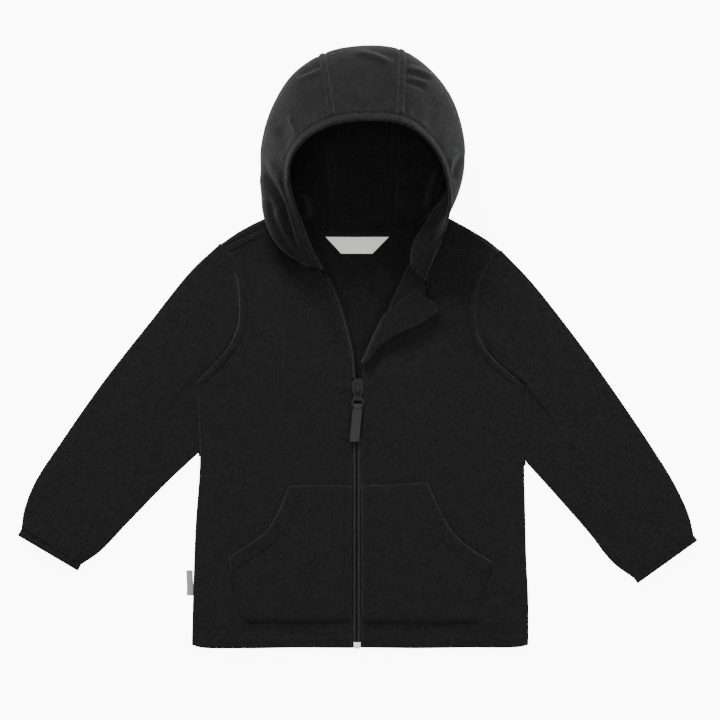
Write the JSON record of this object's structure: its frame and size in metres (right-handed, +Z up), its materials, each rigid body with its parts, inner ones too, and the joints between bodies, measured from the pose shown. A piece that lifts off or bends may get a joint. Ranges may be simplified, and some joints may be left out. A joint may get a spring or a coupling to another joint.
{
  "type": "hooded fleece jacket",
  "caption": "Toddler's black fleece jacket with a hood, a full front zip and patch pockets, lying flat with the neck open.",
  "frame": {"origin": "middle of the jacket's bounding box, on the surface that the back panel lies on", "axes": "+X towards the wearer's left sleeve, +Y from the hem towards the hood, +Z up, away from the surface"},
  "size_m": [0.6772, 0.5996, 0.1135],
  "materials": {
    "fleece": "brushed polyester fleece, soft short nap",
    "zip_tape": "woven polyester tape",
    "zip_coil": "smooth nylon coil",
    "dark_metal": "satin black enamel",
    "bright_metal": "bright cast metal",
    "tab_rubber": "satin rubber",
    "label_satin": "white satin weave, bare",
    "tag_woven": "grey woven ribbon, bare"
  },
  "bodies": {
    "jacket": {"front_right": "fleece", "front_left": "fleece", "back": "fleece", "sleeve_right": "fleece", "sleeve_left": "fleece", "cuff_right": "fleece", "cuff_left": "fleece", "pocket_right": "fleece", "pocket_left": "fleece", "hood_right": "fleece", "hood_centre": "fleece", "hood_left": "fleece", "hood_binding": "fleece", "zip_guard": "fleece", "neck_tape": "fleece", "zip_tape_right": "zip_tape", "zip_tape_left": "zip_tape", "zip_coil_right": "zip_coil", "zip_coil_left": "zip_coil", "zip_coil_open": "zip_coil", "zip_slider": "dark_metal", "zip_retainer": "bright_metal", "neck_label": "label_satin", "side_tag": "tag_woven"},
    "pull": {"zip_pull": "dark_metal", "pull_tab": "tab_rubber"}
  },
  "joints": [
    {"name": "pull_tab_swing", "type": "hinge", "parent": "jacket", "child": "pull", "pos_m": [-0.00005, -0.04156, 0.0106], "axis": [-1, 0, 0], "range_deg": [0, 165]}
  ]
}
